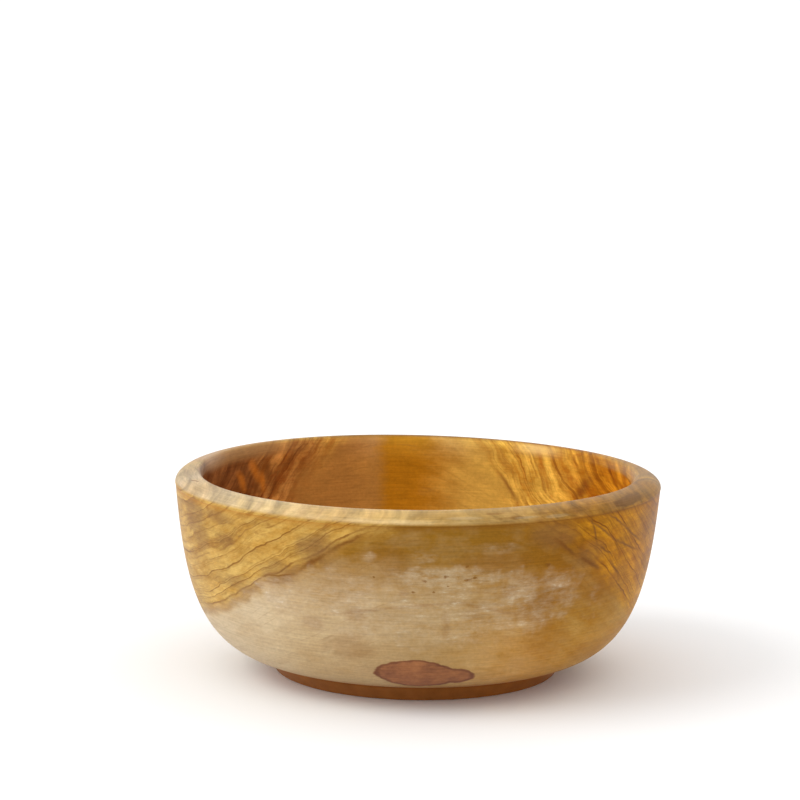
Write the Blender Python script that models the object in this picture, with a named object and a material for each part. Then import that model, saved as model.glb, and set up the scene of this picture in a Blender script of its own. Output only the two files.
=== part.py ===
"""A wooden bowl turned in one piece: a low foot, a full rounded wall and a thick rolled rim.

The bowl stands on the XY plane with its turning axis on +Z. The heartwood patch of the real
bowl faces -Y. All lengths are in metres.
"""

import math

import bmesh
import bpy
from mathutils import Matrix, Vector

# Overall size
RIM_RADIUS = 0.0750
BOWL_HEIGHT = 0.0620

# Rim: rounded over from a crest, down to a crisp outer edge and a softer inner one
RIM_CREST_RADIUS = 0.0684
RIM_OUTER_DROP = 0.0035
RIM_INNER_RADIUS = 0.0662
RIM_INNER_DROP = 0.0036
RIM_STEP = 0.0003

# Outer wall: one sweep from the crease above the foot up to the rim's outer edge
CREASE_RADIUS = 0.0470
CREASE_HEIGHT = 0.0048
SWEEP_START_ANGLE = math.radians(8.8)
SWEEP_START_PULL = 0.0211
WALL_LEAN = math.radians(5.0)
WALL_PULL = 0.0296

# Inner wall: from the rim's inner edge down to the flat middle of the floor
INNER_LEAN = math.radians(4.0)
INNER_PULL = 0.0340
FLOOR_HEIGHT = 0.0120
FLOOR_FLAT_RADIUS = 0.0240
FLOOR_PULL = 0.0320

# Foot: tapers inwards as it goes down, and stands on a flat ring around a shallow recess
FOOT_RADIUS = 0.0440
FOOT_EDGE_ROUND = 0.0005
FOOT_RING_WIDTH = 0.0060
RECESS_DEPTH = 0.0018
RECESS_CORNER = 0.0012

# Facets
TURN_STEPS = 80
WALL_STEPS = 12
RIM_STEPS = 4
SMALL_ROUND_STEPS = 2
SHARP_ANGLE = math.radians(28.0)
WELD_DISTANCE = 1e-6

# Oiled olive wood
WOOD_COLOR = (0.49, 0.27, 0.09, 1.0)
WOOD_ROUGHNESS = 0.42
WOOD_METALLIC = 0.0


def bezier(start, start_handle, end_handle, end, steps):
    """Points on a cubic Bezier curve, both ends included."""
    points = []
    for step in range(steps + 1):
        t = step / steps
        s = 1.0 - t
        point = s**3 * start + 3 * s * s * t * start_handle + 3 * s * t * t * end_handle + t**3 * end
        points.append(point)
    return points


def quarter_round(centre, half_width, half_height, first_angle, last_angle, steps):
    """Points on an elliptical arc between two angles, both ends included."""
    points = []
    for step in range(steps + 1):
        angle = first_angle + (last_angle - first_angle) * step / steps
        offset = Vector((half_width * math.cos(angle), half_height * math.sin(angle)))
        points.append(centre + offset)
    return points


def inner_wall():
    """From the middle of the floor out and up to the inner side of the rim."""
    floor_edge = Vector((FLOOR_FLAT_RADIUS, FLOOR_HEIGHT))
    rim_edge = Vector((RIM_INNER_RADIUS, BOWL_HEIGHT - RIM_INNER_DROP))
    floor_handle = floor_edge + Vector((FLOOR_PULL, 0.0))
    rim_handle = rim_edge - INNER_PULL * Vector((math.sin(INNER_LEAN), math.cos(INNER_LEAN)))
    centre = Vector((0.0, FLOOR_HEIGHT))
    return [centre] + bezier(floor_edge, floor_handle, rim_handle, rim_edge, WALL_STEPS)


def rim():
    """Over the rim, from its inner edge across the crest to its outer edge."""
    inner_centre = Vector((RIM_CREST_RADIUS, BOWL_HEIGHT - RIM_INNER_DROP))
    inner_half = RIM_CREST_RADIUS - RIM_INNER_RADIUS
    inner = quarter_round(inner_centre, inner_half, RIM_INNER_DROP, math.pi, math.pi / 2, RIM_STEPS)
    outer_centre = Vector((RIM_CREST_RADIUS, BOWL_HEIGHT - RIM_OUTER_DROP))
    outer_half = RIM_RADIUS - RIM_CREST_RADIUS
    outer = quarter_round(outer_centre, outer_half, RIM_OUTER_DROP, math.pi / 2, 0.0, RIM_STEPS)
    return inner[1:] + outer[1:]


def outer_wall():
    """From just under the rim's edge down and in to the crease above the foot."""
    top = Vector((RIM_RADIUS - RIM_STEP, BOWL_HEIGHT - RIM_OUTER_DROP - RIM_STEP))
    crease = Vector((CREASE_RADIUS, CREASE_HEIGHT))
    top_handle = top - WALL_PULL * Vector((math.sin(WALL_LEAN), math.cos(WALL_LEAN)))
    sweep = Vector((math.cos(SWEEP_START_ANGLE), math.sin(SWEEP_START_ANGLE)))
    crease_handle = crease + SWEEP_START_PULL * sweep
    return bezier(top, top_handle, crease_handle, crease, WALL_STEPS)


def foot():
    """Down the foot, across the ring it stands on, and over the recess to the axis."""
    edge_centre = Vector((FOOT_RADIUS - FOOT_EDGE_ROUND, FOOT_EDGE_ROUND))
    edge = quarter_round(
        edge_centre, FOOT_EDGE_ROUND, FOOT_EDGE_ROUND, 0.0, -math.pi / 2, SMALL_ROUND_STEPS
    )
    ring_inner_radius = FOOT_RADIUS - FOOT_RING_WIDTH
    ring_inner = Vector((ring_inner_radius, 0.0))
    recess_edge = Vector((ring_inner_radius - RECESS_CORNER, RECESS_DEPTH))
    recess_centre = Vector((0.0, RECESS_DEPTH))
    return edge + [ring_inner, recess_edge, recess_centre]


def turned_mesh(name, profile):
    """Turn a profile, given as (radius, height) points, around the Z axis into a closed mesh."""
    shape = bmesh.new()
    corners = [shape.verts.new((point.x, 0.0, point.y)) for point in profile]
    edges = [shape.edges.new(pair) for pair in zip(corners, corners[1:])]
    bmesh.ops.spin(
        shape,
        geom=corners + edges,
        cent=(0.0, 0.0, 0.0),
        axis=(0.0, 0.0, 1.0),
        angle=2.0 * math.pi,
        steps=TURN_STEPS,
    )
    bmesh.ops.remove_doubles(shape, verts=shape.verts, dist=WELD_DISTANCE)
    bmesh.ops.recalc_face_normals(shape, faces=shape.faces)
    mesh = bpy.data.meshes.new(name)
    shape.to_mesh(mesh)
    shape.free()
    mesh.shade_smooth()
    mesh.set_sharp_from_angle(angle=SHARP_ANGLE)
    return mesh


def wood_material():
    """Oiled olive wood as one flat colour."""
    material = bpy.data.materials.new("olive_wood")
    material.use_nodes = True
    shader = material.node_tree.nodes["Principled BSDF"]
    shader.inputs["Base Color"].default_value = WOOD_COLOR
    shader.inputs["Roughness"].default_value = WOOD_ROUGHNESS
    shader.inputs["Metallic"].default_value = WOOD_METALLIC
    material.diffuse_color = WOOD_COLOR
    return material


def build_bowl():
    """The whole bowl: foot, wall, rim and floor are one piece of wood."""
    profile = inner_wall() + rim() + outer_wall() + foot()
    bowl = bpy.data.objects.new("bowl_body", turned_mesh("bowl_body", profile))
    bowl.data.materials.append(wood_material())
    bowl.matrix_world = Matrix.Identity(4)
    bpy.context.scene.collection.objects.link(bowl)
    return bowl


def clear_scene():
    """Remove whatever the scene already holds."""
    for old in list(bpy.data.objects):
        bpy.data.objects.remove(old, do_unlink=True)


clear_scene()
build_bowl()
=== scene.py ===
import math

import bmesh
import bpy
import numpy as np
from mathutils import Matrix, Vector


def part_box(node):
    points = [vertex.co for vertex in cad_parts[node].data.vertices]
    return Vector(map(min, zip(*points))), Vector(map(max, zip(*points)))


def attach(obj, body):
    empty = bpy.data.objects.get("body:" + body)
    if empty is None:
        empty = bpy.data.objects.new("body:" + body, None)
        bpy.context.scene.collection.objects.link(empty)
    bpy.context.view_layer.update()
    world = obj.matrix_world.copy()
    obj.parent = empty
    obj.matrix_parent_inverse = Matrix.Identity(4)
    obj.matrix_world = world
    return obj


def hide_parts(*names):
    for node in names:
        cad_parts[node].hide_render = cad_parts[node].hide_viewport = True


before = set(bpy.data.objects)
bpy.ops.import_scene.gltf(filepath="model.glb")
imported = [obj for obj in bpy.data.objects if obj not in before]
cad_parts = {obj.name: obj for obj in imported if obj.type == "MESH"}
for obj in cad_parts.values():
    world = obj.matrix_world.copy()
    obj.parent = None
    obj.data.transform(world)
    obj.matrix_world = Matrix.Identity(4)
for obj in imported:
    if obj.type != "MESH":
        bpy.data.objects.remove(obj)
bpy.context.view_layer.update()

MM = 0.001

# ---------------------------------------------------------------------------------------------
# Sizes of the turned bowl, in metres. They follow the CAD solid, which fixes width and height.
# ---------------------------------------------------------------------------------------------
BOWL_LOW, BOWL_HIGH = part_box("bowl_body")
RIM_RADIUS = BOWL_HIGH[0]
BOWL_HEIGHT = BOWL_HIGH[2]

RIM_CREST_RADIUS = 0.0684
RIM_OUTER_DROP = 0.0035
RIM_INNER_RADIUS = 0.0662
RIM_INNER_DROP = 0.0036
LIP_DEPTH = 0.00015
LIP_HEIGHT = 0.00050

CREASE_RADIUS = 0.0470
CREASE_HEIGHT = 0.0048
SWEEP_START_ANGLE = math.radians(8.8)
SWEEP_START_PULL = 0.0211
WALL_LEAN = math.radians(5.0)
WALL_PULL = 0.0296

INNER_LEAN = math.radians(4.0)
INNER_PULL = 0.0340
FLOOR_HEIGHT = 0.0120
FLOOR_DISH = 0.0004
FLOOR_FLAT_RADIUS = 0.0240
FLOOR_PULL = 0.0320

FOOT_RADIUS = 0.0440
FOOT_EDGE_ROUND = 0.0005
FOOT_RING_WIDTH = 0.0060
RECESS_DEPTH = 0.0018
RECESS_CORNER = 0.0012

CREASE_FLARE = Vector((0.0006, 0.00009))
CREASE_FALL = Vector((-0.0003, -0.0004))

RIM_WARP = 0.00042
OPENING_SHIFT = 0.00045

# How many steps the turned surface is made with: around the axis, and along each stretch
TURN_STEPS = 384
FLOOR_STEPS = 12
INNER_STEPS = 56
INNER_ROUND_STEPS = 9
OUTER_ROUND_STEPS = 14
WALL_STEPS = 60
FOOT_STEPS = 6
FOOT_ROUND_STEPS = 4
RING_STEPS = 4
RECESS_SIDE_STEPS = 3
RECESS_STEPS = 14
SHARP_ANGLE = math.radians(50.0)


# ---------------------------------------------------------------------------------------------
# The bowl's mesh
# ---------------------------------------------------------------------------------------------
def bezier(start, start_handle, end_handle, end, steps):
    """Points on a cubic Bezier curve, both ends included."""
    points = []
    for step in range(steps + 1):
        t = step / steps
        s = 1.0 - t
        points.append(s**3 * start + 3 * s * s * t * start_handle + 3 * s * t * t * end_handle + t**3 * end)
    return points


def arc(centre, half_width, half_height, first_angle, last_angle, steps):
    """Points on an elliptical arc between two angles, both ends included."""
    points = []
    for step in range(steps + 1):
        angle = first_angle + (last_angle - first_angle) * step / steps
        points.append(centre + Vector((half_width * math.cos(angle), half_height * math.sin(angle))))
    return points


def straight(start, end, steps):
    """Evenly spaced points after the start, the end included."""
    return [start.lerp(end, step / steps) for step in range(1, steps + 1)]


def bowl_profile():
    """(radius, height) points from the floor's middle, over the rim, down to the recess's middle.

    Each point carries three marks: how far inside it is (1 inside, 0 outside), how close it is to
    the crisp line under the rim, and how close it is to the crease above the foot.
    """
    marked = []

    def add(points, inside, rim_line=0.0, foot_line=0.0):
        for point in points:
            marked.append((point, inside, rim_line, foot_line))

    floor_edge = Vector((FLOOR_FLAT_RADIUS, FLOOR_HEIGHT))
    rim_inner = Vector((RIM_INNER_RADIUS, BOWL_HEIGHT - RIM_INNER_DROP))
    for step in range(FLOOR_STEPS):
        share = step / FLOOR_STEPS
        add([Vector((FLOOR_FLAT_RADIUS * share, FLOOR_HEIGHT - FLOOR_DISH * (1 - share**2) ** 2))], 1.0)
    rim_handle = rim_inner - INNER_PULL * Vector((math.sin(INNER_LEAN), math.cos(INNER_LEAN)))
    floor_handle = floor_edge + Vector((FLOOR_PULL, 0.0))
    add(bezier(floor_edge, floor_handle, rim_handle, rim_inner, INNER_STEPS), 1.0)

    inner_centre = Vector((RIM_CREST_RADIUS, BOWL_HEIGHT - RIM_INNER_DROP))
    inner_half = RIM_CREST_RADIUS - RIM_INNER_RADIUS
    inner_round = arc(inner_centre, inner_half, RIM_INNER_DROP, math.pi, math.pi / 2, INNER_ROUND_STEPS)[1:]
    for step, point in enumerate(inner_round):
        add([point], 1.0 - (step + 1) / len(inner_round))
    outer_centre = Vector((RIM_CREST_RADIUS, BOWL_HEIGHT - RIM_OUTER_DROP))
    outer_half = RIM_RADIUS - RIM_CREST_RADIUS
    outer_round = arc(outer_centre, outer_half, RIM_OUTER_DROP, math.pi / 2, 0.0, OUTER_ROUND_STEPS)[1:]
    add(outer_round, 0.0)

    # The small step under the rim's edge: how far in, how far down, and how dark the painted shade in its
    # line is
    edge = outer_round[-1]
    for inwards, downwards, rim_line in ((0.45, 0.35, 0.8), (0.90, 0.70, 1.0), (1.00, 1.00, 0.6)):
        wall_top = edge - Vector((LIP_DEPTH * inwards, LIP_HEIGHT * downwards))
        add([wall_top], 0.0, rim_line)

    crease = Vector((CREASE_RADIUS, CREASE_HEIGHT))
    top_handle = wall_top - WALL_PULL * Vector((math.sin(WALL_LEAN), math.cos(WALL_LEAN)))
    sweep = Vector((math.cos(SWEEP_START_ANGLE), math.sin(SWEEP_START_ANGLE)))
    wall = bezier(wall_top, top_handle, crease + SWEEP_START_PULL * sweep, crease, WALL_STEPS)[1:-1]
    add(wall, 0.0)
    add([crease + CREASE_FLARE], 0.0, 0.0, 0.4)
    add([crease], 0.0, 0.0, 1.0)

    foot_top = crease + CREASE_FALL
    add([foot_top], 0.0, 0.0, 0.7)
    edge_centre = Vector((FOOT_RADIUS - FOOT_EDGE_ROUND, FOOT_EDGE_ROUND))
    foot_edge = arc(edge_centre, FOOT_EDGE_ROUND, FOOT_EDGE_ROUND, 0.0, -math.pi / 2, FOOT_ROUND_STEPS)
    add(straight(foot_top, foot_edge[0], FOOT_STEPS), 0.0)
    add(foot_edge[1:], 0.0)

    ring_inner = Vector((FOOT_RADIUS - FOOT_RING_WIDTH, 0.0))
    recess_edge = Vector((FOOT_RADIUS - FOOT_RING_WIDTH - RECESS_CORNER, RECESS_DEPTH))
    add(straight(foot_edge[-1], ring_inner, RING_STEPS), 0.0)
    add(straight(ring_inner, recess_edge, RECESS_SIDE_STEPS), 0.0)
    add(straight(recess_edge, Vector((0.0, RECESS_DEPTH)), RECESS_STEPS), 0.0)
    return marked


def opening_shift(z, inside):
    """How far left the opening sits, so that the rim is narrower there: most at the rim."""
    height = max(z, 0.0) / BOWL_HEIGHT
    return -OPENING_SHIFT * inside * height**3


def rim_lift(x, y, z):
    """How far the dried wood has moved: a slight saddle that grows towards the rim."""
    height = max(z, 0.0) / BOWL_HEIGHT
    return -RIM_WARP * height * height * 2.0 * x * y / (RIM_RADIUS * RIM_RADIUS)


def build_bowl():
    """The turned bowl as one closed, smooth mesh, with its marks stored on its points."""
    marked = bowl_profile()
    turned = [0.0]
    for (before, *_), (after, *_) in zip(marked, marked[1:]):
        turned.append(turned[-1] + (after - before).length)

    vertices = []
    marks = {"inside": [], "rim_line": [], "foot_line": [], "turned": []}
    rings = []
    for index, (point, inside, rim_line, foot_line) in enumerate(marked):
        on_axis = point.x < 1e-6
        ring = []
        for step in range(1 if on_axis else TURN_STEPS):
            angle = 2.0 * math.pi * step / TURN_STEPS
            x = point.x * math.cos(angle) + opening_shift(point.y, inside)
            y = point.x * math.sin(angle)
            ring.append(len(vertices))
            vertices.append((x, y, point.y + rim_lift(x, y, point.y)))
            marks["inside"].append(inside)
            marks["rim_line"].append(rim_line)
            marks["foot_line"].append(foot_line)
            marks["turned"].append(turned[index] / MM)
        rings.append(ring)

    faces = []
    for inner, outer in zip(rings, rings[1:]):
        for step in range(TURN_STEPS):
            following = (step + 1) % TURN_STEPS
            if len(inner) == 1:
                faces.append((inner[0], outer[step], outer[following]))
            elif len(outer) == 1:
                faces.append((inner[step], outer[0], inner[following]))
            else:
                faces.append((inner[step], outer[step], outer[following], inner[following]))

    mesh = bpy.data.meshes.new("bowl")
    mesh.from_pydata(vertices, [], faces)
    for name, values in marks.items():
        layer = mesh.attributes.new(name, "FLOAT", "POINT")
        layer.data.foreach_set("value", np.array(values, dtype=np.float32))
    mesh.validate()
    mesh.shade_smooth()
    mesh.set_sharp_from_angle(angle=SHARP_ANGLE)
    bowl = bpy.data.objects.new("bowl", mesh)
    bpy.context.scene.collection.objects.link(bowl)
    return bowl


# ---------------------------------------------------------------------------------------------
# Shader nodes written as sums
# ---------------------------------------------------------------------------------------------
# Where a Mix node has its two colours and its result
MIX_FIRST = 6
MIX_SECOND = 7
MIX_RESULT = 2


class Field:
    """A number that varies over the wood. Sums with it add shader nodes to its tree."""

    def __init__(self, tree, socket):
        self.tree = tree
        self.socket = socket

    def _math(self, operation, *values):
        node = self.tree.nodes.new("ShaderNodeMath")
        node.operation = operation
        for slot, value in zip(node.inputs, values):
            if isinstance(value, Field):
                self.tree.links.new(value.socket, slot)
            else:
                slot.default_value = value
        return Field(self.tree, node.outputs[0])

    def __add__(self, other):
        return self._math("ADD", self, other)

    def __radd__(self, other):
        return self._math("ADD", other, self)

    def __sub__(self, other):
        return self._math("SUBTRACT", self, other)

    def __rsub__(self, other):
        return self._math("SUBTRACT", other, self)

    def __mul__(self, other):
        return self._math("MULTIPLY", self, other)

    def __truediv__(self, other):
        return self._math("DIVIDE", self, other)

    def __neg__(self):
        return self._math("MULTIPLY", self, -1.0)

    def power(self, exponent):
        return self._math("POWER", self, exponent)

    def root(self):
        return self._math("SQRT", self)

    def size(self):
        return self._math("ABSOLUTE", self)

    def floor(self):
        return self._math("FLOOR", self)

    def fraction(self):
        return self._math("FRACT", self)

    def at_least(self, other):
        return self._math("MAXIMUM", self, other)

    def at_most(self, other):
        return self._math("MINIMUM", self, other)

    def smooth_most(self, other, reach):
        """The larger of two numbers, rounded where they cross within the reach of each other."""
        return self._math("SMOOTH_MAX", self, other, reach)

    def rise(self, low, high):
        """0 below low, 1 above high, and a smooth step between them. It falls if low > high."""
        node = self.tree.nodes.new("ShaderNodeMapRange")
        node.interpolation_type = "SMOOTHSTEP"
        self.tree.links.new(self.socket, node.inputs["Value"])
        node.inputs["From Min"].default_value = min(low, high)
        node.inputs["From Max"].default_value = max(low, high)
        node.inputs["To Min"].default_value = 0.0 if low < high else 1.0
        node.inputs["To Max"].default_value = 1.0 if low < high else 0.0
        return Field(self.tree, node.outputs["Result"])

    def bump(self, centre, half_width):
        """1 at the centre, falling smoothly to 0 a half width away on both sides."""
        return (self - centre).size().rise(half_width, 0.0)


class Wood:
    """Makes the fields that the wood is painted with, all in millimetres of the bowl.

    The fields that more than one part of the paint needs are kept on it: where a point is, and the
    noise, the growth rings, the scuffs and the lathe lines that the functions below add.
    """

    def __init__(self, material):
        self.tree = material.node_tree
        coordinates = self.tree.nodes.new("ShaderNodeTexCoord")
        parts = self.tree.nodes.new("ShaderNodeSeparateXYZ")
        self.tree.links.new(coordinates.outputs["Object"], parts.inputs[0])
        self.x, self.y, self.z = (Field(self.tree, out) * (1.0 / MM) for out in parts.outputs)
        self.inside = self.mark("inside").rise(0.0, 0.5)
        self.outside = 1.0 - self.inside
        self.front = self.y.rise(5.0, -25.0) * self.outside
        self.turned = self.mark("turned")

    def mark(self, name):
        """A number stored on the mesh's points."""
        node = self.tree.nodes.new("ShaderNodeAttribute")
        node.attribute_name = name
        return Field(self.tree, node.outputs["Fac"])

    def vector(self, x, y, z):
        node = self.tree.nodes.new("ShaderNodeCombineXYZ")
        for slot, value in zip(node.inputs, (x, y, z)):
            self.tree.links.new(value.socket, slot)
        return node.outputs[0]

    def noise(self, x, y, z, detail=2.0, roughness=0.5, seed=0.0):
        """Smooth noise in space, about -1 to 1, one bump for each unit of its coordinates."""
        node = self.tree.nodes.new("ShaderNodeTexNoise")
        node.noise_dimensions = "3D"
        node.inputs["Scale"].default_value = 1.0
        node.inputs["Detail"].default_value = detail
        node.inputs["Roughness"].default_value = roughness
        self.tree.links.new(self.vector(x + seed, y, z), node.inputs["Vector"])
        return Field(self.tree, node.outputs["Fac"]) * 2.0 - 1.0

    def line_noise(self, along, detail=2.0, roughness=0.5, seed=0.0):
        """Smooth noise along one number, about -1 to 1."""
        node = self.tree.nodes.new("ShaderNodeTexNoise")
        node.noise_dimensions = "1D"
        node.inputs["Scale"].default_value = 1.0
        node.inputs["Detail"].default_value = detail
        node.inputs["Roughness"].default_value = roughness
        self.tree.links.new((along + seed).socket, node.inputs["W"])
        return Field(self.tree, node.outputs["Fac"]) * 2.0 - 1.0

    def chance(self, step):
        """A number from 0 to 1 that is picked afresh for each whole number."""
        node = self.tree.nodes.new("ShaderNodeTexWhiteNoise")
        node.noise_dimensions = "1D"
        self.tree.links.new(step.socket, node.inputs["W"])
        return Field(self.tree, node.outputs["Value"])

    def mix(self, amount, first, second):
        """The first colour where amount is 0 and the second where it is 1."""
        node = self.tree.nodes.new("ShaderNodeMix")
        node.data_type = "RGBA"
        self.tree.links.new(amount.socket, node.inputs["Factor"])
        for slot, value in ((node.inputs[MIX_FIRST], first), (node.inputs[MIX_SECOND], second)):
            if isinstance(value, tuple):
                slot.default_value = value
            else:
                self.tree.links.new(value, slot)
        return node.outputs[MIX_RESULT]

    def tint(self, color, amount, channels):
        """The colour with its red, green and blue multiplied, where amount is 1."""
        node = self.tree.nodes.new("ShaderNodeMix")
        node.data_type = "RGBA"
        node.blend_type = "MULTIPLY"
        node.clamp_result = False
        self.tree.links.new(amount.socket, node.inputs["Factor"])
        self.tree.links.new(color, node.inputs[MIX_FIRST])
        node.inputs[MIX_SECOND].default_value = (*channels, 1.0)
        return node.outputs[MIX_RESULT]

    def shade(self, color, amount):
        """The colour made lighter (above 1) or darker (below 1)."""
        node = self.tree.nodes.new("ShaderNodeVectorMath")
        node.operation = "SCALE"
        self.tree.links.new(color, node.inputs[0])
        self.tree.links.new(amount.socket, node.inputs["Scale"])
        return node.outputs[0]

    def blob(self, x_centre, z_centre, half_width, half_height, ragged=0.5, edge=None):
        """A soft patch seen from the front: 1 in its middle and 0 from its ragged edge outwards."""
        if edge is None:
            edge = self.cloud + self.curl
        sideways = (self.x - x_centre) / half_width
        upwards = (self.z - z_centre) / half_height
        distance = sideways * sideways + upwards * upwards
        return (distance + edge * ragged).rise(1.1, 0.0)

    def stroke(self, x_start, z_start, x_end, z_end, half_width):
        """A tapering, slightly wavy streak seen from the front."""
        length = math.hypot(x_end - x_start, z_end - z_start)
        right = (x_end - x_start) / length
        up = (z_end - z_start) / length
        along = ((self.x - x_start) * right + (self.z - z_start) * up) / length
        beside = (self.z - z_start) * right - (self.x - x_start) * up + self.curl * 0.7
        return along.bump(0.5, 0.6).root() * beside.size().rise(half_width, 0.0)


def srgb(red, green, blue):
    """A screen colour, 0 to 255, as the linear colour that shaders use."""
    linear = []
    for value in (red, green, blue):
        share = value / 255.0
        linear.append(share / 12.92 if share <= 0.04045 else ((share + 0.055) / 1.055) ** 2.4)
    return (*linear, 1.0)


# ---------------------------------------------------------------------------------------------
# Olive wood. Lengths are in millimetres, and places on the front are given as (x, z).
# ---------------------------------------------------------------------------------------------
# The growth rings arch over the log's heart: how far it drifts to the left for each millimetre back,
# how steep the arch's sides are, and how wide its round top is
LOG_TURN = 0.15
RING_SLOPE = 0.76
RING_ROUNDING = 18.0

# The rings at which the figured wood begins and is full, and how far apart its veins are
FIGURE_BEGINS = 60.6
FIGURE_FULL = 69.6
VEIN_SPACING = 4.4

OILED = srgb(139, 96, 31)
DRY = srgb(186, 162, 124)
BROWN = srgb(122, 78, 36)
PALE_GOLD = srgb(194, 156, 82)
GOLD = srgb(163, 119, 49)
DARK_GOLD = srgb(129, 85, 33)
EMBER = srgb(142, 83, 26)
VEIN = srgb(112, 68, 25)
SMOKE = srgb(112, 78, 50)
CHALK = srgb(194, 176, 150)
SOAKED_LEFT = srgb(176, 120, 56)
SOAKED_CENTRE = srgb(178, 115, 20)
SOAKED_RIGHT = srgb(197, 151, 66)
WORN_AND_LIT = srgb(204, 176, 130)
FLAME = srgb(204, 118, 34)
FAR_BROWN = srgb(112, 60, 22)
HEART_DARK = srgb(112, 70, 50)
HEART_PALE = srgb(150, 98, 64)
HEART_EDGE = srgb(90, 54, 42)
FOOT_SHADE = srgb(137, 79, 28)
CHALK_FLECK = srgb(212, 198, 174)
EDGE_HIGHLIGHT = srgb(226, 198, 148)
RIM_DARK = srgb(98, 57, 20)
RIM_GREY_WEAR_AND_SHEEN = srgb(134, 106, 70)
RIM_LINE_SHADE = srgb(112, 66, 22)
RIM_LINE_SHADE_GOLD = srgb(168, 110, 38)
LIP_BROWN = srgb(168, 126, 78)
LIP_PALE = srgb(180, 152, 126)
LIP_SHEEN = srgb(232, 196, 130)
CREASE_SHADE = srgb(92, 52, 22)

# What red, green and blue are multiplied by where the wood holds more oil, or less, and where painted shade,
# painted light and painted sheen fall
OILED_FIGURE = (0.89, 0.62, 0.06)
OILED_PLAIN = (0.96, 0.80, 0.45)
INNER_FIGURE = (1.46, 1.41, 0.92)
INNER_LEFT_TONE_AND_SHADE = (0.66, 0.48, 0.70)
INNER_LEFT_END_TONE_AND_SHADE = (0.48, 0.40, 0.45)
INNER_RIGHT_END = (0.68, 0.45, 0.13)
INNER_FAR_TOP_SHEEN = (1.09, 1.28, 2.4)
RIM_FRONT = (1.16, 1.16, 1.02)
RIM_STAINED = (0.90, 0.92, 1.05)
RIM_LEFT = (1.00, 1.09, 1.30)
RIM_LEFT_END_SHEEN = (1.03, 1.12, 1.36)
RIM_RIGHT_SHADE = (0.76, 0.73, 0.56)
RIM_RIGHT_END_SHEEN = (1.24, 1.44, 2.0)
LOWER_LEFT = (1.06, 1.12, 1.28)
LOWER_RIGHT = (1.02, 1.16, 1.20)
FRONT_MIDDLE = (1.03, 1.05, 1.0)
OVER_FOOT_SHADE = (0.97, 0.68, 0.55)
RIGHT_EDGE = (0.90, 0.89, 0.78)

# The thin coat of oil, and the relief that the lathe and the fibres leave
OIL_IOR = 1.12
OIL_TINT = (1.0, 0.70, 0.20, 1.0)
GRAIN_RELIEF = 0.05 * MM
GRAIN_STRENGTH = 0.6

# Where the oil has dried and the front is chalky: x, z, half width, half height, strength
SCUFFS = (
    (-2.0, 34.0, 54.0, 13.0, 0.65),
    (-37.0, 36.0, 14.0, 6.0, 0.60),
    (-17.0, 36.5, 13.0, 5.0, 0.80),
    (10.0, 43.0, 24.0, 4.5, 1.00),
    (1.5, 49.5, 5.0, 2.5, 0.60),
    (22.0, 51.5, 9.0, 2.0, 0.30),
    (29.0, 38.0, 9.0, 8.0, 0.85),
    (11.0, 31.0, 12.0, 4.0, 0.75),
    (28.0, 28.0, 9.0, 2.0, 0.80),
    (6.0, 24.5, 6.0, 1.8, 0.60),
    (41.0, 39.5, 9.0, 5.0, 0.70),
    (-14.0, 49.0, 3.0, 2.0, 0.50),
)

# Brown patches: x, z, half width, half height, strength
PATCHES = (
    (22.0, 47.5, 13.0, 4.0, 0.50),
    (35.0, 33.0, 6.0, 6.0, 0.45),
    (38.0, 22.0, 9.0, 10.0, 0.35),
    (-17.5, 31.0, 4.0, 3.0, 0.40),
    (-29.5, 27.5, 4.0, 3.0, 0.35),
    (-18.0, 21.0, 8.0, 5.0, 0.30),
    (-7.0, 48.0, 8.0, 6.0, 0.30),
    (52.0, 15.0, 9.0, 5.0, 0.35),
    (8.6, 29.0, 2.0, 5.0, 0.40),
    (27.0, 38.5, 3.0, 2.5, 0.40),
    (-3.5, 38.5, 2.0, 1.5, 0.40),
    (16.0, 32.0, 5.0, 1.6, 0.30),
)

# Smoky blotches at the edge of the figured wood: x, z, half width, half height, strength
BLOTCHES = (
    (-29.0, 50.0, 7.0, 6.0, 0.75),
    (-39.5, 41.8, 6.5, 4.5, 0.60),
    (-52.0, 36.0, 8.0, 3.0, 0.45),
    (-66.5, 53.0, 4.0, 6.0, 0.60),
    (-64.0, 47.0, 3.0, 5.0, 0.45),
    (-58.0, 55.0, 5.0, 2.5, 0.55),
    (-56.0, 48.5, 4.0, 2.5, 0.35),
    (40.0, 54.5, 9.0, 5.0, 0.55),
    (69.0, 52.0, 5.0, 7.0, 0.45),
    (50.0, 47.0, 6.0, 5.0, 0.50),
    (60.0, 37.0, 4.0, 6.0, 0.35),
)

# Dark streaks in the edge of the figured wood: start x, z, end x, z, half width
STREAKS = (
    (-34.5, 42.8, -24.0, 50.6, 1.3),
    (-25.0, 50.0, -15.0, 55.6, 0.9),
    (-44.0, 40.0, -35.0, 42.0, 0.5),
    (39.0, 53.4, 46.5, 47.2, 1.2),
    (46.5, 47.4, 53.8, 41.6, 1.3),
    (39.8, 53.4, 46.2, 47.4, 0.6),
    (47.6, 46.5, 53.4, 41.8, 0.7),
    (50.6, 58.0, 52.4, 49.0, 0.5),
    (52.2, 49.4, 57.5, 45.6, 0.5),
    (49.6, 57.9, 58.5, 49.5, 0.6),
    (57.8, 50.2, 66.0, 44.2, 0.6),
    (55.6, 58.6, 61.4, 53.2, 0.5),
    (60.6, 54.0, 67.2, 46.2, 0.5),
    (56.6, 44.4, 60.2, 36.8, 0.7),
)

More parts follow.
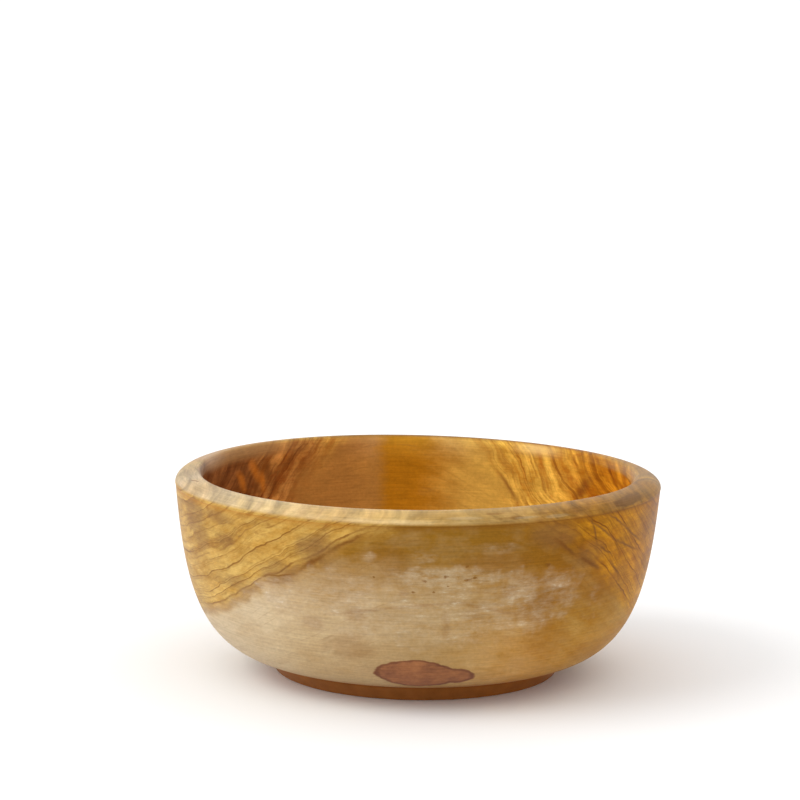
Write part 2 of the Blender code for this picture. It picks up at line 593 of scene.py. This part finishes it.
# Flames and dark streaks on the far inner wall: start x, z, end x, z, half width
FLAMES = (
    (-54.5, 58.5, -51.5, 50.0, 1.8),
    (-58.0, 55.0, -55.5, 48.0, 1.4),
    (-50.8, 53.5, -50.2, 46.5, 1.3),
)
FAR_STREAKS = (
    (-49.5, 57.0, -48.3, 48.5, 1.8),
    (-53.2, 51.0, -52.0, 46.5, 1.4),
    (-37.0, 61.4, -46.0, 52.0, 1.8),
    (-46.0, 52.4, -48.8, 44.5, 1.6),
    (-53.3, 60.8, -55.8, 56.0, 0.7),
    (26.5, 51.8, 34.2, 40.8, 1.3),
    (55.8, 55.5, 51.5, 45.5, 2.2),
)

# The faint arch of one growth ring across the middle: start x, z, end x, z, half width
ARCH = (
    (-25.0, 31.0, -3.0, 34.6, 0.9),
    (-7.0, 34.0, 14.0, 36.2, 0.9),
    (10.0, 36.3, 31.0, 30.8, 0.9),
)

# Brown flecks and pale scuffs on the near rim: x, z, half width, half height, strength
RIM_FLECKS = (
    (27.5, 60.3, 5.5, 0.6, 0.55),
    (22.5, 61.4, 4.0, 0.3, 0.45),
    (34.5, 60.9, 4.0, 0.4, 0.35),
    (45.8, 60.8, 4.5, 0.9, 0.45),
)
RIM_SCUFFS = (
    (31.5, 60.2, 4.0, 0.5, 0.40),
    (40.0, 59.9, 4.0, 0.6, 0.30),
    (14.0, 60.6, 6.0, 0.5, 0.25),
)

# The dark stain on the rim's right end: x, z, half width, half height
RIM_STAIN = (62.4, 60.6, 6.4, 1.5)

# The heart patch low on the front, and the lobe at its right: x, z, half width, half height
HEART = (0.6, 12.4, 12.4, 5.1)
HEART_LOBE = (11.8, 11.6, 5.2, 2.7)
HEART_POWER = 1.75

# Small dark pits: x, z, radius
PITS = (
    (-0.8, 39.0, 0.55),
    (2.3, 42.3, 0.70),
    (5.0, 39.0, 0.45),
    (8.2, 43.6, 0.75),
    (14.2, 46.8, 0.80),
    (14.6, 42.6, 1.00),
    (16.6, 43.2, 0.60),
    (37.6, 45.6, 0.80),
    (9.0, 40.8, 0.40),
    (-12.0, 43.2, 0.45),
)


def growth_rings(wood):
    """The height at which each growth ring crosses the log's middle: rings arch over its heart."""
    x, y, z = wood.x, wood.y, wood.z
    across = x + y * LOG_TURN
    steep = 1.0 - y.rise(-20.0, 45.0) * 0.5
    shoulder = (across * across + RING_ROUNDING**2).root() * RING_SLOPE - RING_SLOPE * RING_ROUNDING
    shoulder = shoulder + (-across - 55.0).at_least(0.0) * 0.3
    shoulder = shoulder + (across - 48.0).at_least(0.0) * y.rise(0.0, -20.0) * 0.6
    far_right = y.rise(0.0, 45.0) * x.rise(-10.0, 20.0) * (z * 0.17 - 4.0)
    wander = wood.noise(x / 42.0, y / 90.0, z / 42.0, detail=1.0, seed=3.0)
    wave = wood.noise(x / 13.0, y / 34.0, z / 13.0, detail=1.0, seed=11.0)
    curl = wood.noise(x / 4.6, y / 11.0, z / 4.6, detail=2.0, roughness=0.6, seed=23.0)
    wood.across = across
    wood.wander = wander
    wood.wave = wave
    wood.curl = curl
    bends = wander * 2.0 + wave * 2.2 + curl * (1.1 - wood.inside * 0.45)
    wood.rings = (z - 55.0) * steep + 55.0 + shoulder - far_right + bends


def plain_wood(wood):
    """The quiet wood under the arch: oiled brown above, dry and pale below and to the left."""
    x, y, z = wood.x, wood.y, wood.z
    flat_ring = z + wood.across * wood.across * 0.010 + wood.wander * 3.0 + wood.wave * 1.2 + wood.curl * 0.3
    cloud = wood.noise(x / 11.0, y / 20.0, z / 6.5, detail=4.0, roughness=0.62, seed=41.0)
    band = wood.line_noise(flat_ring / 4.2, detail=2.0, roughness=0.6)
    wood.cloud = cloud

    low = z.rise(56.0, 26.0)
    dry = (0.5 - x * 0.010).at_least(0.10).at_most(0.95) * low + cloud * 0.42 + band * 0.10 + 0.02
    outer = wood.mix(dry.at_least(0.0).at_most(1.0), OILED, DRY)
    outer = wood.shade(outer, 1.0 - z.rise(40.0, 53.0) * 0.12)
    patchy_x = x + cloud * 9.0 + band * 3.0
    inner = wood.mix(patchy_x.rise(-26.0, 26.0), SOAKED_LEFT, SOAKED_RIGHT)
    deep = (x + cloud * 3.0 + band * 1.5).rise(-15.5, -9.5) * patchy_x.rise(19.0, -2.0) * y.rise(15.0, 45.0)
    inner = wood.mix(deep, inner, SOAKED_CENTRE)
    inner = wood.shade(inner, cloud * 0.30 + wood.curl * 0.08 + band * 0.12 + 1.0)
    color = wood.mix(wood.inside, outer, inner)
    faint_line = wood.line_noise(flat_ring / 6.5, detail=1.0, seed=71.0).size().rise(0.10, 0.0)
    color = wood.mix(faint_line * cloud.rise(-0.1, 0.4) * 0.3, color, BROWN)

    # Long growth-ring marks across the inside of the floor, where the wood is cut along its grain
    grain = wood.across / 5.5 + y * y * 0.0011 + wood.wander * 1.3 + wood.wave * 0.5
    grain_line = wood.line_noise(grain, detail=3.0, roughness=0.6, seed=227.0)
    on_floor = wood.inside * z.rise(26.0, 13.0)
    color = wood.shade(color, on_floor * grain_line * 0.55 + 1.0)
    floor_line = grain_line.size().rise(0.09, 0.0) * cloud.rise(-0.3, 0.3) * on_floor
    return wood.mix(floor_line * 0.4, color, BROWN)


def figured_wood(wood):
    """The wild wood outside the arch: golden bands with thin dark veins that follow the rings."""
    x, y, z = wood.x, wood.y, wood.z
    rings = wood.rings
    flame = wood.noise(wood.across / 7.0, y / 20.0, rings / 2.2, detail=4.0, roughness=0.6, seed=113.0)
    mottle = wood.noise(x / 5.0, y / 9.0, z / 4.0, detail=4.0, roughness=0.6, seed=119.0)
    color = wood.mix((flame * 0.9 + mottle * 1.3 + 0.5).at_least(0.0).at_most(1.0), GOLD, PALE_GOLD)
    dark_wood = wood.mix(wood.inside, DARK_GOLD, EMBER)
    right_gold = x.rise(20.0, 50.0) * wood.outside
    dark_share = (mottle * 1.2 - flame * 0.7).rise(0.05, 0.65) * (0.75 - right_gold * 0.30)
    color = wood.mix(dark_share, color, dark_wood)
    contrast = flame * 0.80 + mottle * 0.32
    color = wood.mix((wood.inside * contrast * -1.7).at_least(0.0).at_most(1.0), color, EMBER)
    color = wood.shade(color, (wood.inside * contrast).at_least(0.0) + 1.0)

    phase = rings / VEIN_SPACING + wood.line_noise(rings / 9.0, detail=1.0, seed=83.0) * 0.8
    ring_share = phase.fraction()
    ring_chance = wood.chance(phase.floor())
    patchy = wood.noise(x / 9.0, y / 22.0, z / 9.0, detail=3.0, roughness=0.6, seed=97.0)
    late = ring_share.power(2.2) * (ring_chance * 0.5 + patchy * 0.5 + 0.3).at_least(0.0)
    color = wood.mix((late * 0.45).at_most(1.0), color, dark_wood)
    calm = (x + z * 0.53 + patchy * 5.0).rise(77.5, 73.5) * x.rise(0.0, 20.0) * wood.outside
    color = wood.shade(color, patchy * 0.30 + right_gold * flame * 0.40 + 1.0)
    edge = ring_share + patchy * 0.05 + wood.inside * 0.05
    vein = edge.rise(0.84, 0.93) * ring_share.rise(1.0, 0.97)
    vein = vein * (ring_chance * 0.7 + patchy * 2.0 + 0.25).at_least(0.0).at_most(1.0)
    vein = vein * (0.75 - wood.inside * 0.10 - calm * 0.65) * (1.0 - wood.rim * 0.8)
    color = wood.mix(vein, color, VEIN)
    hairline = wood.line_noise(rings / 1.9, detail=1.0, seed=127.0).size().rise(0.07, 0.0)
    color = wood.mix(hairline * patchy.rise(0.3, -0.2) * (0.5 - calm * 0.4) * (1.0 - wood.rim), color, BROWN)
    smoke = wood.noise(wood.across / 8.0, y / 18.0, rings / 5.0, detail=3.0, roughness=0.6, seed=137.0)
    return wood.mix(smoke.rise(0.2, 0.65) * (0.5 - wood.inside * 0.3) + calm * 0.35, color, SMOKE)


def heart_depth(wood):
    """How deep a point is in the heart patch low on the front, 0 at its edge (about millimetres)."""
    x, z = wood.x, wood.z
    middle_x, middle_z, half_width, half_height = HEART
    sideways = ((x - middle_x) / half_width).size().power(HEART_POWER)
    upwards = ((z + x * 0.045 - middle_z) / half_height).size().power(HEART_POWER)
    main = (1.0 - (sideways + upwards).power(1.0 / HEART_POWER)) * half_height
    middle_x, middle_z, half_width, half_height = HEART_LOBE
    sideways = (x - middle_x) / half_width
    upwards = (z - middle_z) / half_height
    lobe = (1.0 - (sideways * sideways + upwards * upwards).root()) * half_height
    fret = wood.noise(x / 2.2, wood.y / 6.0, z / 1.8, detail=2.0, seed=191.0)
    return main.smooth_most(lobe, 0.8) + wood.curl * 0.30 + fret * 0.42


def add_patches(wood, color, patches, where, paint, amount=1.0, ragged=0.5):
    """The colour with soft patches of paint on it, each with its own strength."""
    for x_centre, z_centre, half_width, half_height, strength in patches:
        patch = wood.blob(x_centre, z_centre, half_width, half_height, ragged) * where
        color = wood.mix(patch * (strength * amount), color, paint)
    return color


def add_streaks(wood, color, streaks, where, paint, amount):
    """The colour with tapering streaks of paint on it."""
    for x_start, z_start, x_end, z_end, half_width in streaks:
        streak = wood.stroke(x_start, z_start, x_end, z_end, half_width) * where
        color = wood.mix(streak * amount, color, paint)
    return color


def joined_woods(wood):
    """The plain wood, with the figured wood beyond one growth ring of the arch."""
    x, inside, outside = wood.x, wood.inside, wood.outside
    plain = plain_wood(wood)
    ragged_rings = wood.rings + wood.wave * 1.5 + wood.cloud * 3.0 + wood.curl * 1.6
    figured = ragged_rings.rise(FIGURE_BEGINS, FIGURE_FULL)
    wood.figured = figured

    # The right side took up more oil, and so did the inside. The inside's left is darkest: darker wood with
    # painted shade, where that wall faces away from the key light.
    wild = figured_wood(wood)
    wild = wood.tint(wild, x.rise(5.0, 55.0) * outside, OILED_FIGURE)
    wild = wood.tint(wild, inside, INNER_FIGURE)
    # Darker wood with painted shade on the inner left wall
    wild = wood.tint(wild, x.rise(-20.0, -38.0) * inside, INNER_LEFT_TONE_AND_SHADE)
    wild = wood.tint(wild, x.rise(-45.0, -57.0) * inside, INNER_LEFT_END_TONE_AND_SHADE)
    wild = wood.tint(wild, x.rise(40.0, 60.0) * inside, INNER_RIGHT_END)
    plain = wood.tint(plain, x.rise(5.0, 60.0) * outside, OILED_PLAIN)
    color = wood.mix(figured, plain, wild)
    halo = figured.rise(0.0, 0.5) * figured.rise(1.0, 0.5) * x.rise(-5.0, -25.0) * outside
    return wood.mix(halo * 0.35, color, BROWN)


def marked_walls(wood, color):
    """Brown patches, smoky blotches and streaks on the front, and flames on the far inner wall."""
    color = add_patches(wood, color, PATCHES, wood.front, BROWN, 0.8)
    color = add_patches(wood, color, BLOTCHES, wood.front, SMOKE, 0.8)
    color = add_streaks(wood, color, STREAKS, wood.front, VEIN, 0.85)
    color = add_streaks(wood, color, ARCH, wood.front, BROWN, 0.35)
    far = wood.y.rise(5.0, 20.0) * wood.inside
    color = add_streaks(wood, color, FLAMES, far, FLAME, 0.65)
    return add_streaks(wood, color, FAR_STREAKS, far, FAR_BROWN, 0.7)


def rim_wear_and_light(wood, color):
    """The rim: worn and lit pale at the front left, darker at the right with painted shade, with a painted
    highlight on its outer edge, painted sheen at its ends and high on the far wall, and the far wall's lip.
    """
    x, y, z = wood.x, wood.y, wood.z
    rim = wood.rim
    # Worn and lit pale: wear on the rim's front left, with painted light where the key light falls, fading
    # towards the back
    worn_and_lit = (wood.cloud * 0.35 - x * 0.004 + 0.40).at_least(0.0).at_most(0.8) * y.rise(30.0, -30.0)
    color = wood.mix(rim * worn_and_lit, color, WORN_AND_LIT)
    diagonal = wood.noise(x / 12.0, y / 24.0, wood.rings / 2.2, detail=3.0, roughness=0.6, seed=211.0)
    contrast = x.size().rise(15.0, 45.0) * 0.20 + 0.60
    color = wood.shade(color, rim * (diagonal * contrast - 0.05) + 1.0)
    color = wood.tint(color, rim * (x + diagonal * 16.0).rise(-46.0, -62.0), RIM_STAINED)
    color = wood.tint(color, rim * x.bump(8.0, 36.0) * y.rise(0.0, -40.0), RIM_FRONT)
    # Painted highlight along the rim's outer edge at the front
    edge_highlight = z.bump(59.5, 1.1) * x.bump(-4.0, 36.0) * y.rise(-40.0, -55.0)
    color = wood.mix(edge_highlight * (wood.cloud * 0.6 + 0.4).at_least(0.0), color, EDGE_HIGHLIGHT)

    near = y.rise(-30.0, -50.0)
    color = add_patches(wood, color, RIM_FLECKS, near, BROWN, ragged=0.8)
    color = add_patches(wood, color, RIM_SCUFFS, near, CHALK, ragged=0.8)
    # Painted shade: the rim grows darker towards the right, away from the key light
    color = wood.tint(color, rim * x.rise(-10.0, 60.0), RIM_RIGHT_SHADE)
    stain = wood.blob(*RIM_STAIN, ragged=0.8) * y.rise(-28.0, -33.0)
    color = wood.mix((stain * 1.3).at_most(0.9), color, RIM_DARK)
    # Grey at the rim's right end: worn wood with painted sheen
    color = wood.mix(rim * (x + diagonal * 10.0).rise(46.0, 64.0) * 0.40, color, RIM_GREY_WEAR_AND_SHEEN)
    # Painted sheen on the rim's right end
    color = wood.tint(color, rim * x.rise(50.0, 63.0) * y.rise(-18.0, -6.0), RIM_RIGHT_END_SHEEN)
    # Painted sheen on the rim's left end
    color = wood.tint(color, rim * x.rise(-56.0, -68.0) * y.rise(-32.0, -16.0), RIM_LEFT_END_SHEEN)
    color = wood.tint(color, rim * x.rise(-28.0, -40.0) * y.rise(-30.0, -45.0), RIM_LEFT)

    # Painted sheen high on the far inner wall
    far_top_sheen = z.rise(52.0, 60.0) * y.rise(15.0, 45.0) * x.bump(0.0, 30.0) * wood.inside
    color = wood.tint(color, far_top_sheen, INNER_FAR_TOP_SHEEN)
    lip = z.rise(57.0, 60.0) * y.rise(5.0, 18.0)
    color = wood.mix(lip * x.rise(-34.0, -52.0) * 0.75, color, LIP_BROWN)
    color = wood.mix(lip * x.rise(-60.0, -67.0) * 0.6, color, LIP_PALE)
    color = wood.mix(lip * x.bump(39.0, 11.0) * wood.inside * 0.6, color, LIP_SHEEN)
    color = wood.shade(color, 1.0 - rim * y.rise(40.0, 58.0) * x.bump(26.0, 15.0) * 0.18)

    # A short drying crack across the rim's left end
    crack = ((x + 67.2) / 1.6).size().rise(1.0, 0.6) * (y + x * 1.4 + 117.0).bump(0.0, 0.7)
    return wood.mix(crack * rim * 0.9, color, VEIN)


def dried_front(wood, color):
    """Chalky scuffs on the front, drawn out sideways by the lathe, and small pits."""
    x, y, z = wood.x, wood.y, wood.z
    streaky = wood.noise(x / 4.0, y / 4.0, z / 0.9, detail=5.0, roughness=0.72, seed=149.0)
    grainy = wood.noise(x / 7.0, y / 7.0, z / 4.0, detail=4.0, roughness=0.7, seed=151.0)
    scuff = None
    for x_centre, z_centre, half_width, half_height, strength in SCUFFS:
        patch = wood.blob(x_centre, z_centre, half_width, half_height, 1.0) * strength
        scuff = patch if scuff is None else scuff.at_least(patch)
    scuff = (scuff * (streaky * 1.1 + grainy * 1.5 + 0.70).at_least(0.0)).at_most(1.0) * wood.front
    scuff = scuff * wood.figured.rise(1.0, 0.4)
    color = wood.mix(scuff * 0.46, color, CHALK)
    fleck = (streaky * 1.3 + grainy * 1.1).rise(0.30, 0.85) * scuff.rise(0.15, 0.9)
    color = wood.mix(fleck * 0.45, color, CHALK_FLECK)
    wood.streaky = streaky
    wood.scuff = scuff

    speck = wood.noise(x / 0.9, y / 3.0, z / 0.7, detail=2.0, seed=223.0)
    for x_centre, z_centre, radius in PITS:
        pit = wood.blob(x_centre, z_centre, radius * 1.2, radius * 0.7, 1.8, speck) * wood.front
        color = wood.mix(pit * 0.70, color, VEIN)
    return color


def heart_patch(wood, color):
    """The red-brown heart of the log, which comes through low on the front."""
    depth = heart_depth(wood)
    mottle = wood.cloud * 0.9 + wood.curl * 0.8 + wood.streaky * 0.6 + 0.5
    heart_color = wood.mix(mottle.at_least(0.0).at_most(1.0), HEART_DARK, HEART_PALE)
    heart_color = wood.shade(heart_color, 1.16 - wood.x.rise(-5.0, 18.0) * 0.24)
    color = wood.mix(depth.rise(-0.3, 0.1) * wood.front, color, heart_color)
    return wood.mix(depth.bump(0.2, 0.55) * wood.front * 0.65, color, HEART_EDGE)


def turned_surface(wood, color):
    """Lathe lines and fine fibre, how the walls' colour changes from place to place, painted light low on
    the right wall, and painted shade just above the foot.
    """
    x, y, z = wood.x, wood.y, wood.z
    outside, front = wood.outside, wood.front
    lathe = wood.noise(x / 16.0, y / 16.0, wood.turned * 1.7, detail=3.0, roughness=0.75, seed=163.0)
    fibre = wood.noise(x * 1.1, y / 6.0, z * 1.1, detail=2.0, roughness=0.6, seed=173.0)
    wood.lathe = lathe
    wood.fibre = fibre
    color = wood.shade(color, 1.0 + lathe * (wood.rim * 0.10 + 0.30) + fibre * 0.18)
    # Painted light: the lower right wall is lightened, as if lit from the white floor below
    color = wood.shade(color, z.rise(38.0, 14.0) * x.rise(0.0, 34.0) * outside * 0.50 + 1.0)
    color = wood.tint(color, z.rise(40.0, 26.0) * x.rise(26.0, 50.0) * outside, LOWER_RIGHT)
    color = wood.tint(color, z.rise(50.0, 36.0) * x.rise(-28.0, -50.0) * front, LOWER_LEFT)
    color = wood.tint(color, x.bump(12.0, 34.0) * z.rise(8.0, 16.0) * front, FRONT_MIDDLE)
    # Painted shade just above the foot, where the crease is
    color = wood.tint(color, z.rise(8.0, 5.0) * front, OVER_FOOT_SHADE)
    color = wood.tint(color, x.rise(58.0, 73.0) * y.rise(-8.0, -22.0), RIGHT_EDGE)
    arris = z.bump(58.6, 0.9) * x.rise(40.0, 58.0) * outside
    return wood.shade(color, 1.0 - arris * 0.25)


def painted_edge_shade(wood, color):
    """Painted shade in the line under the rim's lip and in the crease above the foot, and the foot painted
    dark brown with the shade under the bowl's overhang.
    """
    x, y, z = wood.x, wood.y, wood.z
    # Painted shade under the rim's small lip: dark brown, turning golden brown towards the left
    line_shade = wood.mix(x.rise(-6.0, -28.0), RIM_LINE_SHADE, RIM_LINE_SHADE_GOLD)
    color = wood.mix(wood.mark("rim_line") * 0.60, color, line_shade)
    # Painted shade in the crease above the foot
    color = wood.mix(wood.mark("foot_line") * 0.8, color, CREASE_SHADE)
    # Painted shade: the foot is painted dark brown, with grain mottling, as it stands in the shade under the
    # bowl's overhang
    foot = z.rise(4.9, 4.3) * wood.outside
    upright = wood.noise(x / 3.5, y / 3.5, z / 14.0, detail=3.0, seed=197.0)
    color = wood.mix(foot * 0.80, color, FOOT_SHADE)
    return wood.shade(color, foot * upright * 0.30 + 1.0)


def olive_wood():
    """Turned olive wood under an old, thin coat of oil."""
    material = bpy.data.materials.new("olive_wood_oiled")
    material.use_nodes = True
    tree = material.node_tree
    shader = tree.nodes["Principled BSDF"]
    wood = Wood(material)
    growth_rings(wood)
    wood.rim = wood.z.rise(58.4, 59.6) * wood.y.rise(60.0, 0.0)
    color = joined_woods(wood)
    for step in (marked_walls, rim_wear_and_light, dried_front, heart_patch, turned_surface, painted_edge_shade):
        color = step(wood, color)
    tree.links.new(color, shader.inputs["Base Color"])

    roughness = 0.42 + wood.cloud * 0.04 + wood.scuff * 0.2 + wood.lathe * 0.03
    tree.links.new(roughness.socket, shader.inputs["Roughness"])
    shader.inputs["IOR"].default_value = OIL_IOR
    shader.inputs["Specular IOR Level"].default_value = 1.0
    shader.inputs["Specular Tint"].default_value = OIL_TINT

    bump = tree.nodes.new("ShaderNodeBump")
    bump.inputs["Strength"].default_value = GRAIN_STRENGTH
    bump.inputs["Distance"].default_value = GRAIN_RELIEF
    height = wood.lathe * 0.5 + wood.fibre * 0.3
    tree.links.new(height.socket, bump.inputs["Height"])
    tree.links.new(bump.outputs[0], shader.inputs["Normal"])
    return material


# ---------------------------------------------------------------------------------------------
# Studio
# ---------------------------------------------------------------------------------------------
CAMERA_DISTANCE = 0.8349
CAMERA_ELEVATION = math.radians(11.46)
CAMERA_TARGET_HEIGHT = 0.0356
CAMERA_PAN = math.radians(-0.41)
CAMERA_TILT = math.radians(3.27)
CAMERA_ROLL = math.radians(0.79)
CAMERA_LENS = 120.54
CAMERA_NEAR = 0.01
CAMERA_FAR = 200.0

SKY_STRENGTH = 1.08
KEY_FROM = (-0.78, -0.26, 0.58)
KEY_STRENGTH = 1.35
KEY_ANGLE = math.radians(45.0)
PAPER_RADIUS = 60.0
PAPER_CORNERS = 64
PAPER_GAP = 0.00005
PAPER_WHITE = (0.9, 0.9, 0.9, 1.0)
PAPER_ROUGHNESS = 0.9


def add_camera():
    """The camera stands in front, a little above, and looks past the bowl to its upper right."""
    data = bpy.data.cameras.new("camera")
    data.lens = CAMERA_LENS
    data.clip_start = CAMERA_NEAR
    data.clip_end = CAMERA_FAR
    camera = bpy.data.objects.new("camera", data)
    bpy.context.scene.collection.objects.link(camera)
    back = Vector((0.0, -math.cos(CAMERA_ELEVATION), math.sin(CAMERA_ELEVATION)))
    target = Vector((0.0, 0.0, CAMERA_TARGET_HEIGHT))
    forward = -back
    right = Vector((1.0, 0.0, 0.0))
    up = right.cross(forward)
    aim = (forward + math.tan(CAMERA_PAN) * right + math.tan(CAMERA_TILT) * up).normalized()
    level_right = aim.cross(Vector((0.0, 0.0, 1.0))).normalized()
    level_up = level_right.cross(aim)
    turned_right = math.cos(CAMERA_ROLL) * level_right + math.sin(CAMERA_ROLL) * level_up
    turned_up = -math.sin(CAMERA_ROLL) * level_right + math.cos(CAMERA_ROLL) * level_up
    axes = Matrix((turned_right, turned_up, -aim)).transposed().to_4x4()
    camera.matrix_world = Matrix.Translation(target + CAMERA_DISTANCE * back) @ axes
    bpy.context.scene.camera = camera


def add_studio():
    """A white sky, one soft sun from the left, and a sheet of white paper to stand on."""
    world = bpy.data.worlds.new("studio")
    world.use_nodes = True
    background = world.node_tree.nodes["Background"]
    background.inputs["Color"].default_value = (1.0, 1.0, 1.0, 1.0)
    background.inputs["Strength"].default_value = SKY_STRENGTH
    bpy.context.scene.world = world

    data = bpy.data.lights.new("key", "SUN")
    data.energy = KEY_STRENGTH
    data.angle = KEY_ANGLE
    key = bpy.data.objects.new("key", data)
    key.rotation_euler = (-Vector(KEY_FROM)).to_track_quat("-Z", "Y").to_euler()
    bpy.context.scene.collection.objects.link(key)

    shape = bmesh.new()
    bmesh.ops.create_circle(shape, cap_ends=True, segments=PAPER_CORNERS, radius=PAPER_RADIUS)
    mesh = bpy.data.meshes.new("floor")
    shape.to_mesh(mesh)
    shape.free()
    floor = bpy.data.objects.new("floor", mesh)
    floor.location.z = BOWL_LOW[2] - PAPER_GAP
    paper = bpy.data.materials.new("white_paper")
    paper.use_nodes = True
    paper_shader = paper.node_tree.nodes["Principled BSDF"]
    paper_shader.inputs["Base Color"].default_value = PAPER_WHITE
    paper_shader.inputs["Roughness"].default_value = PAPER_ROUGHNESS
    mesh.materials.append(paper)
    bpy.context.scene.collection.objects.link(floor)

    bpy.context.scene.view_settings.view_transform = "Standard"
    bpy.context.scene.view_settings.look = "None"


add_camera()
add_studio()

bowl = build_bowl()
bowl.data.materials.append(olive_wood())
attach(bowl, "root")
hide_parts("bowl_body")
